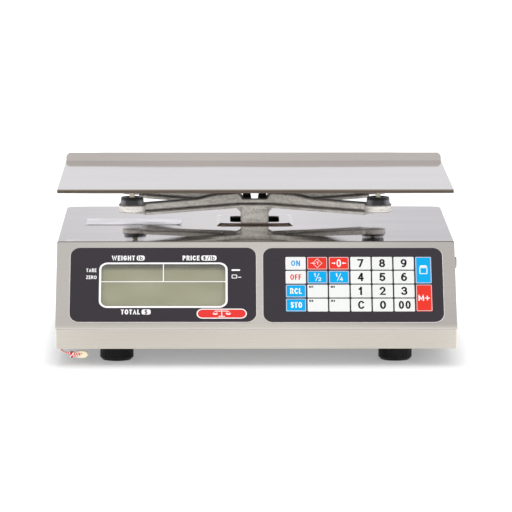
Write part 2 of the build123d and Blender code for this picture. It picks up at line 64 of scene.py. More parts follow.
# ---- camera
camera_data = bpy.data.cameras.new("camera")
camera_data.sensor_width = 36.0
camera_data.lens = 344.5
camera_data.clip_start = 0.1
camera_data.clip_end = 200.0
camera = bpy.data.objects.new("camera", camera_data)
LOOK_DOWN = 6.889  # degrees under the horizon
LOOK_RIGHT = 0.00701  # radians
camera.location = (-0.0314, -4.6295, 0.6376)
camera.rotation_euler = (math.radians(90.0 - LOOK_DOWN), 0.0, -LOOK_RIGHT)
scene.collection.objects.link(camera)
scene.camera = camera


# ---- node helpers
class Nodes:
    """A node tree and short ways to make the nodes that most looks share."""

    def __init__(self, tree):
        self.tree = tree

    def put(self, socket, value):
        if isinstance(value, bpy.types.NodeSocket):
            self.tree.links.new(value, socket)
        else:
            socket.default_value = value

    def node(self, kind, inputs=(), **settings):
        made = self.tree.nodes.new("ShaderNode" + kind)
        for name, value in settings.items():
            setattr(made, name, value)
        for socket, value in dict(inputs).items():
            self.put(made.inputs[socket], value)
        return made

    def place(self, scale=(1, 1, 1)):
        """The spot on the piece in metres, times a scale on each axis."""
        spot = self.node("TexCoord").outputs["Object"]
        return self.node("Mapping", {"Vector": spot, "Scale": scale}).outputs[0]

    def noise(self, scale, detail=3.0, roughness=0.55):
        scale = scale if isinstance(scale, tuple) else (scale, scale, scale)
        inputs = {"Vector": self.place(scale), "Scale": 1.0, "Detail": detail, "Roughness": roughness}
        return self.node("TexNoise", inputs).outputs[0]

    def math(self, operation, a, b=0.0):
        return self.node("Math", {0: a, 1: b}, operation=operation).outputs[0]

    def times(self, a, b):
        return self.math("MULTIPLY", a, b)

    def span(self, value, low, high, to_low=0.0, to_high=1.0):
        """The value taken from low..high to to_low..to_high, and held there beyond the ends."""
        inputs = {"Value": value, "From Min": low, "From Max": high, "To Min": to_low, "To Max": to_high}
        return self.node("MapRange", inputs, clamp=True).outputs[0]

    def mix(self, factor, a, b, blend="MIX"):
        made = self.node("Mix", data_type="RGBA", blend_type=blend)
        for index, value in ((0, factor), (6, a), (7, b)):
            self.put(made.inputs[index], value)
        return made.outputs[2]

    def shaded(self, factor, body, tint):
        """The body multiplied by a tint as far as the factor says."""
        return self.mix(factor, body, self.mix(1.0, body, tint, "MULTIPLY"))

    def spot(self):
        """The spot on the piece in metres, as X, Y and Z outputs."""
        return self.node("SeparateXYZ", {0: self.place()}).outputs

    def ramp(self, value, *stops):
        made = self.node("ValToRGB", {"Fac": value})
        elements = made.color_ramp.elements
        while len(elements) < len(stops):
            elements.new(0.5)
        for element, (position, colour) in zip(elements, stops):
            element.position = position
            element.color = colour
        return made.outputs[0]

    def normal_axis(self, axis):
        """How much the surface faces along an axis, without its sign."""
        facing = self.node("NewGeometry").outputs["Normal"]
        part = self.node("SeparateXYZ", {0: facing}).outputs["XYZ".index(axis)]
        return self.math("ABSOLUTE", part)

    def edges(self, radius, sharpness):
        """The sharpness along convex and concave edges within a radius, 0 on flat ground."""
        rounded = self.node("Bevel", {"Radius": radius}, samples=4).outputs[0]
        plain = self.node("NewGeometry").outputs["Normal"]
        same = self.node("VectorMath", {0: rounded, 1: plain}, operation="DOT_PRODUCT").outputs["Value"]
        return self.span(same, 0.995, 0.80, 0.0, sharpness)

    def bump(self, height, distance, strength=1.0, normal=None):
        inputs = {"Height": height, "Distance": distance, "Strength": strength}
        if normal is not None:
            inputs["Normal"] = normal
        return self.node("Bump", inputs).outputs[0]


class Shader(Nodes):
    """A material round one Principled surface."""

    def __init__(self, name, **sockets):
        self.material = bpy.data.materials.new(name)
        self.material.use_nodes = True
        super().__init__(self.material.node_tree)
        self.surface = self.tree.nodes["Principled BSDF"]
        for socket, value in sockets.items():
            self.put(self.surface.inputs[socket.replace("_", " ")], value)

    def set(self, socket, value):
        self.put(self.surface.inputs[socket], value)
        return self


def grey(level):
    return (level, level, level, 1.0)


def tinted(colour, factor):
    return tuple(min(1.0, part * factor) for part in colour[:3]) + (1.0,)


# ---- materials
LIP_DARK_REFLECTION = srgb(140, 130, 118)  # painted dark reflection on the rolled metal of the tray's front lip
UPRIGHT_SHADE_TINT = (0.96, 0.92, 0.93, 1)  # painted shade on the tray's faces that stand up, such as its rear flange


def brushed(
    name, colour, rough, grain, depth,
    along=12.0, across=1500.0, crown=None, polish=None, wear_and_shade=None, lip=None,
):
    """Stainless sheet, brushed from side to side, and front to back on its side walls. polish is a lower
    roughness that the faces that look up take at grazing angles. crown bows those faces in long waves.
    wear_and_shade works on the colour, and on the housing paints light and shade into it. lip is the Y of a front
    edge whose rolled metal gets a painted dark reflection."""
    s = Shader(name, Metallic=1.0)
    side = s.span(s.normal_axis("X"), 0.6, 0.8)
    lengthwise = s.noise((along, across, across), 4.0, 0.65)
    crosswise = s.noise((across, along, across), 4.0, 0.65)
    streak = s.mix(side, lengthwise, crosswise)
    streak = s.node("RGBToBW", {0: streak}).outputs[0]
    cloud = s.noise((5.0, 9.0, 9.0), 3.0)
    body = s.ramp(streak, (0.25, tinted(colour, 1 - grain)), (0.75, tinted(colour, 1 + grain)))
    shade = s.ramp(cloud, (0.3, grey(0.95)), (0.7, grey(1.03)))
    body = s.mix(1.0, body, shade, "MULTIPLY")
    # edges painted brighter: rubbed wear and a painted highlight
    rubbed_lit_edges = s.edges(0.0009, 0.55)
    body = s.mix(rubbed_lit_edges, body, tinted(colour, 1.25))
    if wear_and_shade is not None:
        body = wear_and_shade(s, body)
    if lip is not None:
        # painted dark reflection along the tray's rolled front lip
        near = s.span(s.spot()["Y"], lip + 0.0016, lip + 0.0011)
        body = s.mix(near, body, LIP_DARK_REFLECTION)
        # painted shade on the faces that stand up
        body = s.shaded(s.span(s.normal_axis("Y"), 0.3, 0.5), body, UPRIGHT_SHADE_TINT)
    s.set("Base Color", body)
    roughness = s.span(streak, 0.2, 0.8, rough * 0.8, rough * 1.2)
    facing_up = s.span(s.normal_axis("Z"), 0.97, 0.995)
    if polish is not None:
        finer = s.span(streak, 0.2, 0.8, polish * 0.8, polish * 1.25)
        smoothed = s.times(s.span(s.normal_axis("Z"), 0.8, 0.9), s.math("SUBTRACT", 1.0, pressed_front(s)))
        grazing = s.span(s.node("LayerWeight", {"Blend": 0.5}).outputs["Facing"], 0.5, 0.76)
        smoothed = s.times(smoothed, grazing)
        roughness = s.math("ADD", roughness, s.times(s.math("SUBTRACT", finer, roughness), smoothed))
    s.set("Roughness", roughness)
    normal = s.bump(streak, depth)
    if crown is not None:
        normal = s.bump(crown(s, facing_up), 1.0, 1.0, normal)
    return s.set("Normal", normal).material


def pressed_front(s):
    """1 on gentle slopes that face the front, such as the front of the rise round the hub."""
    facing = s.node("SeparateXYZ", {0: s.node("NewGeometry").outputs["Normal"]})
    ahead = s.span(facing.outputs["Y"], -0.05, -0.07)
    return s.times(ahead, s.span(facing.outputs["Z"], 0.95, 0.97))


BOW_REACH, BOW = 0.115, 0.0012  # how far back from the front edge the top bows, and how deep
NOSE_REACH, NOSE = 0.035, 0.00032  # the same for the flatter strip along the edge
WAVE = 0.0006  # the height of the sheet's long waves
PRESSED_SLOPE = 0.30  # how much steeper the rise round the hub is at its front


def cover_crown(s, facing_up):
    """The housing's top bows down towards its front edge, flattens again along the edge and is a little
    wavy, in metres of height. The front of the rise round the hub is pressed steeper than the rest."""
    spot = s.spot()
    ahead = s.span(spot["Y"], edge.y + BOW_REACH, edge.y)
    left = s.span(spot["X"], -0.19, -0.05, 0.8, 1.0)
    right = s.span(spot["X"], 0.05, 0.19, 1.0, 0.4)
    bow = s.times(s.times(ahead, ahead), s.times(left, right))
    wave = s.times(s.noise((7.0, 16.0, 1.0), 1.0, 0.3), WAVE)
    height = s.math("SUBTRACT", wave, s.times(bow, BOW))
    nose = s.span(spot["Y"], edge.y + NOSE_REACH, edge.y)
    nose = s.times(nose, nose)
    nose = s.times(nose, s.span(s.math("ABSOLUTE", spot["X"]), 0.175, 0.06, 0.25, 1.0))
    height = s.math("ADD", height, s.times(nose, NOSE))
    height = s.times(height, facing_up)
    return s.math("ADD", height, s.times(s.times(spot["Y"], PRESSED_SLOPE), pressed_front(s)))


# Tints of painted light and shade on the housing: ends and top darker, slope lighter and warmer, a brownish
# reflection on the rise round the hub, a dark reflection along the upper fold.
END_SHADE_TINT = (0.83, 0.82, 0.84, 1)
SLOPE_LIGHT_TINT = (1.08, 1.06, 1.01, 1)
TOP_SHADE_TINT = (0.82, 0.81, 0.83, 1)
TOP_END_SHADE_TINT = (0.66, 0.655, 0.69, 1)
PRESSED_REFLECTION_TINT = (0.92, 0.76, 0.68, 1)
UPPER_FOLD_REFLECTION = srgb(92, 80, 72)


def cover_painted_light(s, body):
    """Painted light and shade on the housing: its top is painted darker than its slope, most of all towards the
    ends. Its upper fold holds a painted dark reflection, its lower fold a painted highlight, and the front of the
    rise round the hub a brownish painted reflection."""
    spot = s.spot()
    above = s.span(spot["Z"], fold.z, fold.z + 0.004)
    left = s.span(spot["X"], -0.05, -0.175, 0.0, 0.6)
    right = s.span(spot["X"], 0.03, 0.15)
    end_shade = s.times(above, s.math("MAXIMUM", left, right))
    # painted shade towards the ends of the top and slope
    body = s.shaded(end_shade, body, END_SHADE_TINT)
    # painted light: the slope and strip under the fold lighter and warmer
    body = s.shaded(s.math("SUBTRACT", 1.0, above), body, SLOPE_LIGHT_TINT)
    # painted shade on the faces that look up, deepest towards the ends
    top = s.span(s.normal_axis("Z"), 0.9, 0.95)
    body = s.shaded(top, body, TOP_SHADE_TINT)
    body = s.shaded(s.times(top, end_shade), body, TOP_END_SHADE_TINT)
    # painted brownish reflection on the front of the rise round the hub
    body = s.shaded(pressed_front(s), body, PRESSED_REFLECTION_TINT)
    # painted dark reflection along the upper fold
    behind = s.math("ABSOLUTE", s.math("SUBTRACT", spot["Y"], edge.y + 0.0006))
    body = s.mix(s.span(behind, 0.0014, 0.0009, 0.0, 0.75), body, UPPER_FOLD_REFLECTION)
    # painted highlight along the lower fold
    off = s.math("ABSOLUTE", s.math("SUBTRACT", spot["Z"], fold.z))
    return s.mix(s.span(off, 0.0016, 0.0006, 0.0, 0.8), body, tinted(STEEL, 1.2))


def tray_crown(s, facing_up):
    """Faint long waves in the tray's deck, in metres of height."""
    wave = s.times(s.noise((6.0, 14.0, 1.0), 1.0, 0.3), 0.00045)
    return s.times(wave, facing_up)


# painted shade: dark brown for shade and the tray's dark reflection on the spider
SHADE_BROWN = (0.034, 0.026, 0.021, 1.0)
# painted light: the cups at the arms' ends are painted brighter
CUP_LIGHT_TINT = (1.34, 1.34, 1.36, 1)
CUPS_FROM, CUPS_FULL = 0.104, 0.107  # the distances from the middle where the spider's cups begin


def cast(name, colour, rough):
    """Die-cast alloy: sandy skin, flow marks along the arms, and painted dark shade and reflection on the faces
    that look up and along the edges. The cups at the arms' ends are painted brighter, as they catch more light."""
    s = Shader(name, Metallic=0.05, Specular_IOR_Level=0.35)
    sand = s.noise(1000.0, 4.0, 0.75)
    flow = s.noise((70.0, 200.0, 420.0), 4.0, 0.65)
    body = s.ramp(flow, (0.3, tinted(colour, 0.72)), (0.5, colour), (0.72, tinted(colour, 1.2)))
    speck = s.ramp(sand, (0.34, (0.52, 0.50, 0.47, 1)), (0.52, grey(1.0)))
    body = s.mix(0.95, body, speck, "MULTIPLY")
    plain = s.node("NewGeometry").outputs["Normal"]
    upward = s.node("SeparateXYZ", {0: plain}).outputs["Z"]
    rounded_off = s.node("Bevel", {"Radius": 0.0024}, samples=6).outputs[0]
    lean = s.math("SUBTRACT", s.node("SeparateXYZ", {0: rounded_off}).outputs["Z"], upward)
    # painted shade and dark reflection on faces that look up and on edges that lean up
    shaded_faces = s.math("MAXIMUM", s.span(upward, 0.25, 0.7), s.span(lean, 0.02, 0.13))
    out = s.math("ABSOLUTE", s.spot()["X"])
    # painted light on the cups
    body = s.shaded(s.span(out, CUPS_FROM, CUPS_FULL), body, CUP_LIGHT_TINT)
    body = s.mix(s.times(shaded_faces, 0.97), body, SHADE_BROWN)
    # painted dark lines of shade along the edges
    s.set("Base Color", s.mix(s.edges(0.0008, 0.9), body, SHADE_BROWN))
    s.set("Roughness", s.span(sand, 0.3, 0.7, rough * 0.8, rough * 1.3))
    fine = s.bump(sand, 1.2e-4, 0.7)
    return s.set("Normal", s.bump(flow, 2.5e-4, 0.3, fine)).material


def moulded(name, colour, rough, mottle, pit=2e-5, scale=1800.0, wear_and_shade=0.0, tone=None, **sockets):
    """Moulded plastic or rubber: fine texture, slight mottling, paler rubbed edges."""
    s = Shader(name, **sockets)
    fine = s.noise(scale, 3.0, 0.6)
    broad = s.noise(60.0, 3.0, 0.6)
    body = s.ramp(broad, (0.3, tinted(colour, 1 - mottle)), (0.7, tinted(colour, 1 + mottle)))
    if wear_and_shade:
        pale = tuple(0.5 * part + 0.12 for part in colour[:3]) + (1.0,)
        rubbed = s.times(s.edges(0.0007, wear_and_shade), s.span(broad, 0.35, 0.65, 0.3, 1.0))
        body = s.mix(rubbed, body, pale)
    if tone is not None:
        body = tone(s, body)
    s.set("Base Color", body)
    s.set("Roughness", s.span(fine, 0.3, 0.7, rough * 0.85, rough * 1.15))
    return s.set("Normal", s.bump(fine, pit, 0.7)).material


def cushion_painted_light(s, body):
    """The rubber cups get painted highlights on their flanks and painted black shade round the mouth."""
    flank = s.math("ABSOLUTE", s.normal_axis("X"))
    body = s.mix(s.span(flank, 0.45, 0.8, 0.0, 0.85), body, srgb(146, 146, 152))
    mouth = s.span(s.spot()["Z"], cushion_mouth - 0.0032, cushion_mouth - 0.0022, 0.0, 0.92)
    return s.mix(mouth, body, srgb(8, 8, 8))


def turned(name, colour, rough, metallic=1.0):
    """Machined or plated metal: fine tool marks and a painted highlight along the edges."""
    s = Shader(name, Metallic=metallic)
    marks = s.noise((1400.0, 1400.0, 5200.0), 3.0, 0.6)
    patch = s.noise(120.0, 3.0, 0.6)
    body = s.ramp(patch, (0.3, tinted(colour, 0.88)), (0.7, tinted(colour, 1.08)))
    s.set("Base Color", s.mix(s.edges(0.0005, 0.6), body, tinted(colour, 1.35)))
    s.set("Roughness", s.span(marks, 0.3, 0.7, rough * 0.75, rough * 1.25))
    return s.set("Normal", s.bump(marks, 1.2e-5, 0.8)).material


def film(name, colour):
    """Screen-printed polycarbonate film with a velvet grain and a faint painted sparkle."""
    s = Shader(name, Specular_IOR_Level=0.35)
    velvet = s.noise(3200.0, 3.0, 0.7)
    sparkle = s.node("TexVoronoi", {"Vector": s.place((2600.0,) * 3), "Scale": 1.0}).outputs["Color"]
    painted_glint = s.span(s.node("RGBToBW", {0: sparkle}).outputs[0], 0.72, 0.95)
    broad = s.noise((14.0, 14.0, 14.0), 2.0)
    body = s.ramp(broad, (0.3, tinted(colour, 0.92)), (0.7, tinted(colour, 1.08)))
    s.set("Base Color", s.mix(s.times(painted_glint, 0.22), body, tinted(colour, 3.2)))
    s.set("Roughness", s.span(velvet, 0.3, 0.7, 0.34, 0.5))
    return s.set("Normal", s.bump(velvet, 1.4e-5, 0.8)).material


def printed(name, colour):
    """Ink or gloss key face: a trace of dot texture and uneven cover."""
    s = Shader(name, Specular_IOR_Level=0.12)
    dots = s.noise(1500.0, 2.0, 0.5)
    broad = s.noise(40.0, 2.0, 0.5)
    body = s.ramp(broad, (0.3, tinted(colour, 0.97)), (0.7, tinted(colour, 1.02)))
    s.set("Base Color", s.mix(s.span(dots, 0.35, 0.75, 0.0, 0.05), body, tinted(colour, 0.7)))
    s.set("Roughness", s.span(dots, 0.3, 0.7, 0.425, 0.575))
    return s.set("Normal", s.bump(dots, 8e-6, 0.6)).material


def glass_panel(name, colour):
    """The grey-green face of a reflective liquid-crystal panel. The front one is in shade along its top."""
    s = Shader(name, Specular_IOR_Level=0.3)
    cloud = s.noise((9.0, 14.0, 14.0), 2.0)
    weave = s.noise(2400.0, 1.0)
    body = s.ramp(cloud, (0.3, tinted(colour, 0.96)), (0.7, tinted(colour, 1.04)))
    body = s.mix(s.span(weave, 0.4, 0.7, 0.0, 0.12), body, tinted(colour, 0.8))
    top = front.at(0, front.extent("display_lens")[2], -3).z
    spot = s.spot()
    shade = s.times(s.span(spot["Z"], top - 0.0034, top - 0.0008), s.span(spot["Y"], 0.001, 0.0))
    s.set("Base Color", s.mix(shade, body, tinted(colour, 0.42)))
    return s.set("Roughness", s.span(weave, 0.3, 0.7, 0.3, 0.42)).material


def clear(name):
    """The clear part of the film in front of a display."""
    s = Shader(name, Alpha=0.1, IOR=1.5)
    smear = s.noise((30.0, 60.0, 60.0), 3.0)
    s.set("Base Color", s.ramp(smear, (0.3, srgb(150, 152, 150)), (0.7, srgb(190, 192, 188))))
    s.set("Roughness", s.span(smear, 0.3, 0.7, 0.12, 0.24))
    return s.material


def board(name):
    """Circuit board: green lacquer over copper tracks."""
    s = Shader(name, Coat_Weight=0.3)
    bricks = {"Vector": s.place((420.0,) * 3), "Scale": 1.0, "Mortar Size": 0.06}
    tracks = s.node("TexBrick", bricks).outputs["Fac"]
    flaws = s.noise(300.0, 3.0)
    body = s.ramp(flaws, (0.3, srgb(16, 70, 44)), (0.7, srgb(24, 92, 56)))
    s.set("Base Color", s.mix(s.times(tracks, 0.5), body, srgb(60, 130, 80)))
    s.set("Roughness", s.span(flaws, 0.3, 0.7, 0.3, 0.45))
    return s.set("Normal", s.bump(tracks, 3e-5, 0.5)).material


def ribbon(name, colour):
    """Flat cable: parallel cores under a thin skin."""
    s = Shader(name)
    cores = s.node("TexWave", {"Vector": s.place(), "Scale": 125.0}, bands_direction="X").outputs[1]
    s.set("Base Color", s.ramp(cores, (0.2, tinted(colour, 0.7)), (0.7, colour)))
    s.set("Roughness", s.span(cores, 0.0, 1.0, 0.5, 0.38))
    return s.set("Normal", s.bump(cores, 2e-4, 0.6)).material


def foil(name):
    """A blank adhesive label of silvery film: patchy sheen and faint ripples."""
    s = Shader(name, Metallic=1.0)
    patch = s.noise((26.0, 40.0, 1.0), 3.0, 0.6)
    ripple = s.noise((22.0, 30.0, 1.0), 1.0)
    s.set("Base Color", s.ramp(patch, (0.3, srgb(206, 204, 208)), (0.7, srgb(244, 243, 247))))
    s.set("Roughness", s.span(patch, 0.3, 0.7, 0.2, 0.1))
    return s.set("Normal", s.bump(ripple, 5e-5, 1.0)).material


# ---- the panels' own axes
class Panel:
    """A flat face of the housing. Places are X and the distance below the face's upper edge, in
    millimetres, then a height in millimetres over the housing's sheet."""

    def __init__(self, out, right, overlay, overlay_top):
        self.out, self.right = Vector(out).normalized(), Vector(right)
        self.up = self.out.cross(self.right)
        corners = [v.co for v in frame["nodes"][overlay].data.vertices]
        face = max(c.dot(self.out) for c in corners) - FILM * MM
        top = max(c.dot(self.up) for c in corners) + overlay_top * MM
        self.origin = self.out * face + self.up * top

    def at(self, x, down, lift):
        """A place on the panel, in metres in the shared frame."""
        return self.origin + self.right * (x * MM) - self.up * (down * MM) + self.out * (lift * MM)

    def matrix(self, x, down, lift):
        """Takes a flat drawing in millimetres, X right and Y up, to the panel."""
        turn = Matrix((self.right, self.up, self.out)).transposed().to_4x4()
        return Matrix.Translation(self.at(x, down, lift)) @ turn @ Matrix.Scale(MM, 4)

    def height_of(self, node):
        """How far a node's outermost face stands over the sheet, in millimetres."""
        corners = [v.co for v in frame["nodes"][node].data.vertices]
        return (max(c.dot(self.out) for c in corners) - self.origin.dot(self.out)) / MM

    def extent(self, node):
        """A node's left, right, top and bottom on the panel, in millimetres."""
        xs = [(v.co - self.origin).dot(self.right) / MM for v in frame["nodes"][node].data.vertices]
        downs = [-(v.co - self.origin).dot(self.up) / MM for v in frame["nodes"][node].data.vertices]
        return min(xs), max(xs), min(downs), max(downs)


press = Vector(next(joint["axis"] for joint in frame["joints"] if joint["name"] == "key_7_press"))
FILM = 1.2  # thickness of the panels' overlays, mm
SLOPE = 98.4  # length of the front slope, mm
front = Panel(-press, (1, 0, 0), "display_overlay", 8.0)
rear = Panel((0, 1, 0), (-1, 0, 0), "customer_overlay", 6.0)
edge = front.at(0, 0, 0)  # the front edge of the housing's flat top
fold = front.at(0, SLOPE, 0)  # where the slope meets the upright strip under it
cushion_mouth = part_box("rubber_cushions")[1].z
INK = 0.03  # thickness of a printed layer, mm


# ---- flat drawings
def loop(curve, points):
    spline = curve.splines.new("POLY")
    spline.points.add(len(points) - 1)
    for point, (x, y) in zip(spline.points, points):
        point.co = (x, y, 0, 1)
    spline.use_cyclic_u = True


def rounded(left, right, top, bottom, radius, steps=8):
    """A rounded rectangle's outline; top and bottom are drawn upwards."""
    points = []
    centres = ((right, top, -1, -1), (left, top, 1, -1), (left, bottom, 1, 1), (right, bottom, -1, 1))
    for quarter, (x, y, dx, dy) in enumerate(centres):
        for step in range(steps + 1):
            angle = math.radians(90 * quarter + 90 * step / steps)
            points.append((x + radius * (dx + math.cos(angle)), y + radius * (dy + math.sin(angle))))
    return points


def as_mesh(data):
    """A curve's mesh, freed of the object that made it."""
    holder = bpy.data.objects.new("holder", data)
    scene.collection.objects.link(holder)
    bpy.context.view_layer.update()
    mesh = bpy.data.meshes.new_from_object(holder.evaluated_get(bpy.context.evaluated_depsgraph_get()))
    bpy.data.objects.remove(holder)
    return mesh


def as_data(made, smooth=False, closed=True):
    """The mesh of a bmesh, which is used up; a closed one has its faces turned outward."""
    if closed:
        bmesh.ops.recalc_face_normals(made, faces=made.faces)
    for face in made.faces:
        face.smooth = smooth
    mesh = bpy.data.meshes.new("drawing")
    made.to_mesh(mesh)
    made.free()
    return mesh


def stitch(made, rings):
    """Walls between each ring of corners and the next."""
    for one, two in zip(rings, rings[1:]):
        for i in range(len(one)):
            following = (i + 1) % len(one)
            made.faces.new((one[i], one[following], two[following], two[i]))


def drawn(*loops):
    """A flat filled shape INK thick; loops inside others are holes."""
    curve = bpy.data.curves.new("drawn", "CURVE")
    curve.dimensions = "2D"
    curve.fill_mode = "BOTH"
    curve.extrude = INK / 2
    for points in loops:
        loop(curve, points)
    return as_mesh(curve)


def arc(x, y, rx, ry, start, end, steps=12):
    """Points of an elliptical arc between two angles in degrees."""
    turns = [math.radians(start + (end - start) * step / steps) for step in range(steps + 1)]
    return [(x + rx * math.cos(turn), y + ry * math.sin(turn)) for turn in turns]


STEM = [(0.0, 0.0), (0.0, 1.0), (0.5, 1.0)]
UPRIGHT = [(0.5, 0.0), (0.5, 1.0)]
# Each letter's width against its height, then its strokes in a square from 0 to 1.
LETTERS = {
    "0": (0.62, [arc(0.5, 0.5, 0.5, 0.5, 0, 360, 24)]),
    "1": (0.42, [[(0.0, 0.78), (0.45, 0.86), (0.85, 1.0)], [(0.85, 0.0), (0.85, 1.0)]]),
    "2": (0.64, [arc(0.48, 0.7, 0.48, 0.3, 165, -35) + [(0.04, 0.0), (1.0, 0.0)]]),
    "3": (0.64, [arc(0.46, 0.76, 0.46, 0.24, 155, -90) + arc(0.46, 0.26, 0.54, 0.26, 85, -155)]),
    "4": (0.70, [[(0.76, 0.0), (0.76, 1.0)], [(0.70, 1.0), (0.0, 0.28), (1.0, 0.28)]]),
    "5": (0.64, [[(0.92, 1.0), (0.16, 1.0), (0.08, 0.50)], arc(0.48, 0.32, 0.52, 0.32, 146, -150)]),
    "6": (0.64, [arc(0.5, 0.31, 0.5, 0.31, 0, 360, 24), arc(0.62, 0.33, 0.62, 0.67, 180, 80)]),
    "7": (0.60, [[(0.0, 1.0), (1.0, 1.0), (0.34, 0.0)]]),
    "8": (0.64, [arc(0.5, 0.76, 0.42, 0.24, 0, 360, 20), arc(0.5, 0.26, 0.5, 0.26, 0, 360, 20)]),
    "9": (0.64, [arc(0.5, 0.69, 0.5, 0.31, 0, 360, 24), arc(0.38, 0.67, 0.62, 0.67, 0, -100)]),
    "A": (0.74, [[(0.0, 0.0), (0.5, 1.0), (1.0, 0.0)], [(0.2, 0.3), (0.8, 0.3)]]),
    "C": (0.70, [arc(0.52, 0.5, 0.52, 0.5, 42, 318, 20)]),
    "E": (0.56, [[(1.0, 0.0), (0.0, 0.0), (0.0, 1.0), (1.0, 1.0)], [(0.0, 0.52), (0.85, 0.52)]]),
    "F": (0.54, [[(0.0, 0.0), (0.0, 1.0), (1.0, 1.0)], [(0.0, 0.5), (0.85, 0.5)]]),
    "G": (0.72, [arc(0.52, 0.5, 0.52, 0.5, 45, 335, 20) + [(1.0, 0.46), (0.6, 0.46)]]),
    "H": (0.70, [[(0.0, 0.0), (0.0, 1.0)], [(1.0, 0.0), (1.0, 1.0)], [(0.0, 0.52), (1.0, 0.52)]]),
    "I": (0.0, [UPRIGHT]),
    "L": (0.54, [[(0.0, 1.0), (0.0, 0.0), (1.0, 0.0)]]),
    "M": (0.86, [[(0.0, 0.0), (0.0, 1.0)], [(0.0, 1.0), (0.5, 0.2), (1.0, 1.0)], [(1.0, 0.0), (1.0, 1.0)]]),
    "N": (0.72, [[(0.0, 0.0), (0.0, 1.0)], [(0.0, 1.0), (1.0, 0.0)], [(1.0, 0.0), (1.0, 1.0)]]),
    "O": (0.76, [arc(0.5, 0.5, 0.5, 0.5, 0, 360, 24)]),
    "P": (0.62, [STEM + arc(0.5, 0.73, 0.5, 0.27, 80, -90) + [(0.0, 0.46)]]),
    "R": (0.66, [STEM + arc(0.5, 0.75, 0.46, 0.25, 80, -90) + [(0.0, 0.5)], [(0.5, 0.5), (1.0, 0.0)]]),
    "S": (0.62, [arc(0.5, 0.75, 0.48, 0.25, 28, 262) + arc(0.5, 0.25, 0.5, 0.25, 82, -152)]),
    "T": (0.62, [[(0.0, 1.0), (1.0, 1.0)], UPRIGHT]),
    "W": (1.05, [[(0.0, 1.0), (0.25, 0.0), (0.5, 0.95), (0.75, 0.0), (1.0, 1.0)]]),
    "Z": (0.62, [[(0.0, 1.0), (1.0, 1.0), (0.0, 0.0), (1.0, 0.0)]]),
    "+": (0.78, [[(0.0, 0.46), (1.0, 0.46)], [(0.5, 0.1), (0.5, 0.82)]]),
    "b": (0.56, [[(0.0, 0.0), (0.0, 1.0)], arc(0.5, 0.33, 0.5, 0.33, 0, 360, 20)]),
    "l": (0.0, [UPRIGHT]),
    "/": (0.40, [[(0.0, 0.0), (1.0, 1.0)]]),
    "$": (0.60, [arc(0.5, 0.7, 0.48, 0.2, 28, 262) + arc(0.5, 0.3, 0.5, 0.2, 82, -152), UPRIGHT]),
}
LETTER_GAP = 0.17  # between letters, against their height


def stroke(made, points, weight):
    """Adds a flat ribbon INK thick along points in millimetres; its free ends are square."""
    top, bottom = Vector((0, 0, INK / 2)), Vector((0, 0, -INK / 2))
    points = [Vector((x, y, 0)) for x, y in points]
    closed = (points[0] - points[-1]).length < 1e-6
    if closed:
        points.pop()
    last = len(points) - 1
    runs = []
    for i, spot in enumerate(points):
        before = points[i - 1] if i or closed else spot
        after = points[(i + 1) % len(points)] if i < last or closed else spot
        one, two = (spot - before).normalized(), (after - spot).normalized()
        ahead = (one + two).normalized()
        across = Vector((-ahead.y, ahead.x, 0))
        straight = abs(ahead.dot(two if two.length else one))
        half = across * weight / 2 / max(straight, 0.6)
        if not closed and i in (0, last):
            spot = spot + ahead * (weight / 2 if i else -weight / 2)
        corners = (half + top, -half + top, -half + bottom, half + bottom)
        runs.append([made.verts.new(spot + corner) for corner in corners])
    stitch(made, runs + runs[:1] if closed else runs)
    if not closed:
        made.faces.new(runs[0])
        made.faces.new(runs[-1][::-1])


def lettering(words, wide, tall, weight, middle=(0.0, 0.0)):
    """Words drawn in strokes of one weight, wide and tall in all, in millimetres."""
    slim = sum(1 for letter in words if not LETTERS[letter][0])
    shares = sum(LETTERS[letter][0] for letter in words) + LETTER_GAP * (len(words) - 1)
    share = (wide - slim * weight) / shares if shares else 0.0
    made = bmesh.new()
    left = middle[0] - wide / 2
    low = middle[1] - tall / 2 + weight / 2
    for letter in words:
        width, strokes = LETTERS[letter]
        width = width * share if width else weight
        start = left + weight / 2
        for points in strokes:
            placed = [(start + x * (width - weight), low + y * (tall - weight)) for x, y in points]
            stroke(made, placed, weight)
        left += width + LETTER_GAP * share
    return as_data(made)


def piece(name, parts, body, materials):
    """One object from meshes, each with the matrix that places it and its material's number."""
    whole = bmesh.new()
    for mesh, matrix, index in parts:
        before = len(whole.faces)
        whole.from_mesh(mesh)
        whole.faces.ensure_lookup_table()
        fresh = whole.faces[before:]
        corners = {v for face in fresh for v in face.verts}
        bmesh.ops.transform(whole, matrix=matrix, verts=list(corners))
        for face in fresh:
            face.material_index = index
    bmesh.ops.remove_doubles(whole, verts=whole.verts, dist=1e-7)
    mesh = bpy.data.meshes.new(name)
    whole.to_mesh(mesh)
    whole.free()
    for material in materials:
        mesh.materials.append(material)
    made = bpy.data.objects.new(name, mesh)
    scene.collection.objects.link(made)
    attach(made, body)
    return made


